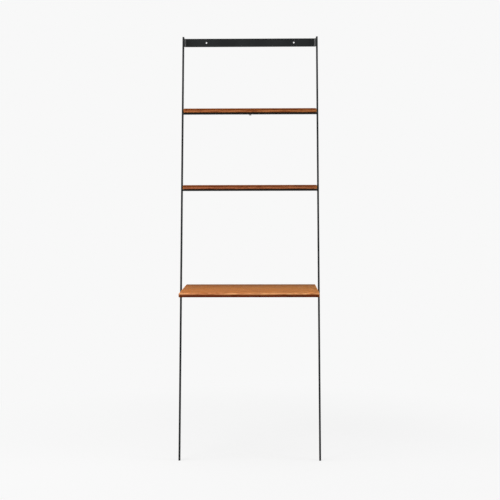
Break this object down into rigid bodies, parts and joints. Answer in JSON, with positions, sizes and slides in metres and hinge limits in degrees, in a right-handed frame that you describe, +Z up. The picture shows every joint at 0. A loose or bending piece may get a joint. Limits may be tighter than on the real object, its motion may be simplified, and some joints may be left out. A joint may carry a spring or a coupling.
{
  "type": "ladder desk",
  "caption": "Leaning ladder desk with slim black flat-bar uprights, a wall bar, shallow wood shelves and a deeper wood worktop carried on steel rungs.",
  "frame": {"origin": "on the floor, under the middle of the part's box", "axes": "+X to the right seen from the front, +Y towards the wall, +Z up"},
  "size_m": [0.627, 0.445, 1.897],
  "materials": {
    "black_steel": "matt powder coat",
    "oiled_wood": "oiled, satin",
    "rubber_pad": "matt",
    "black_screw": "black oxide"
  },
  "bodies": {
    "root": {"left_upright": "black_steel", "right_upright": "black_steel", "left_foot_pad": "rubber_pad", "right_foot_pad": "rubber_pad", "wall_bar": "black_steel", "wall_bar_screws": "black_screw", "desk_board": "oiled_wood", "desk_rung": "black_steel", "desk_rear_bar": "black_steel", "desk_front_bar": "black_steel", "desk_rung_screws": "black_screw", "desk_board_screws": "black_screw", "middle_board": "oiled_wood", "middle_rung": "black_steel", "middle_rear_bar": "black_steel", "middle_rung_screws": "black_screw", "middle_board_screws": "black_screw", "top_board": "oiled_wood", "top_rung": "black_steel", "top_rear_bar": "black_steel", "top_rung_screws": "black_screw", "top_board_screws": "black_screw"}
  },
  "joints": []
}
